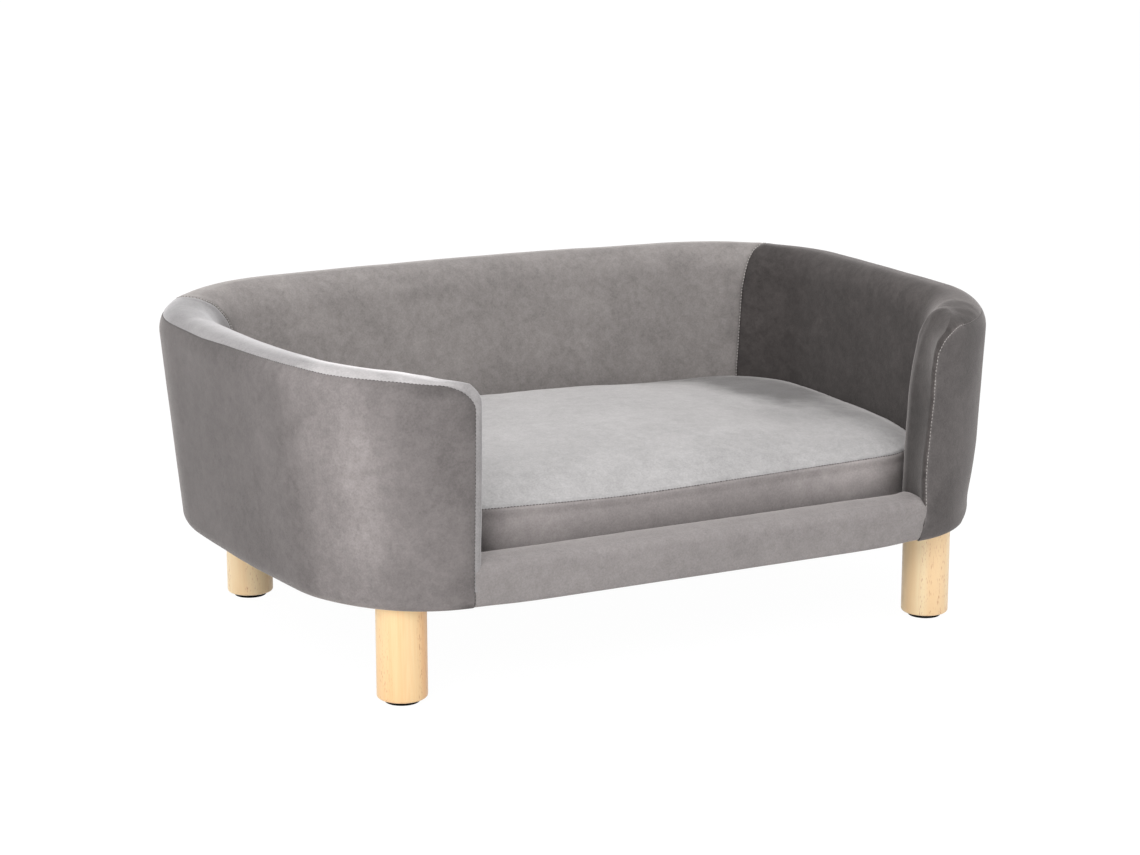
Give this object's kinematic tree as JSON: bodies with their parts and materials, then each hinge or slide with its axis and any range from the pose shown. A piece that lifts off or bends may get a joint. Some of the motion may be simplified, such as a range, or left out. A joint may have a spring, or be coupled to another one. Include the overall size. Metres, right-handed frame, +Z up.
{
  "type": "dog sofa bed",
  "caption": "Low velvet dog sofa with a rounded tub wall, a loose zipped box cushion behind a front rail, and round wooden legs.",
  "frame": {"origin": "on the floor, under the middle of the bounding box", "axes": "+X to the viewer's right along the sofa's width, the open front faces -Y, +Z up"},
  "size_m": [0.8412, 0.5864, 0.341],
  "materials": {
    "velvet": "short-pile velvet",
    "foam": "open-cell foam",
    "wadding": "polyester wadding",
    "black_cloth": "non-woven cloth",
    "plywood": "raw plywood",
    "pine": "sawn pine",
    "hardboard": "hardboard",
    "rubberwood": "turned and clear lacquered",
    "steel": "zinc plated",
    "black_plastic": "moulded",
    "zip_nylon": "coil",
    "zip_metal": "dark plated"
  },
  "bodies": {
    "sofa": {"outer_cover": "velvet", "left_arm_cover": "velvet", "right_arm_cover": "velvet", "back_inner_cover": "velvet", "front_rail_cover": "velvet", "left_arm_foam": "foam", "right_arm_foam": "foam", "back_foam": "foam", "front_rail_foam": "foam", "deck_pad": "foam", "wall_wadding": "wadding", "deck_cloth": "black_cloth", "dust_cover": "black_cloth", "base_panel": "plywood", "top_rib": "plywood", "left_front_post": "pine", "left_arm_post": "pine", "left_side_post": "pine", "left_corner_post": "pine", "left_back_post": "pine", "right_front_post": "pine", "right_arm_post": "pine", "right_side_post": "pine", "right_corner_post": "pine", "right_back_post": "pine", "middle_back_post": "pine", "front_rail_board": "pine", "outer_skin": "hardboard", "inner_skin": "hardboard", "front_left_leg": "rubberwood", "back_left_leg": "rubberwood", "front_right_leg": "rubberwood", "back_right_leg": "rubberwood", "leg_plates": "steel", "leg_plate_screws": "steel", "hanger_bolts": "steel", "tee_nuts": "steel", "glide_nails": "steel", "base_screws": "steel", "rib_screws": "steel", "staples": "steel", "glides": "black_plastic"},
    "cushion": {"cushion_foam": "foam", "cushion_top_panel": "velvet", "cushion_side_band": "velvet", "cushion_bottom_panel": "velvet", "zip_tapes": "zip_nylon", "zip_chain": "zip_nylon", "zip_stops": "zip_metal"},
    "zip_slider": {"zip_slider": "zip_metal"},
    "zip_pull": {"zip_pull": "zip_metal"}
  },
  "joints": [
    {"name": "cushion_lift", "type": "slide", "parent": "sofa", "child": "cushion", "axis": [0, 0, 1], "range_m": [0, 0.25]},
    {"name": "zip_run", "type": "slide", "parent": "cushion", "child": "zip_slider", "axis": [-1, 0, 0], "range_m": [0, 0.285]},
    {"name": "zip_pull_swing", "type": "hinge", "parent": "zip_slider", "child": "zip_pull", "pos_m": [0.1435, 0.1864, 0.1543], "axis": [1, 0, 0], "range_deg": [-8, 25]}
  ]
}
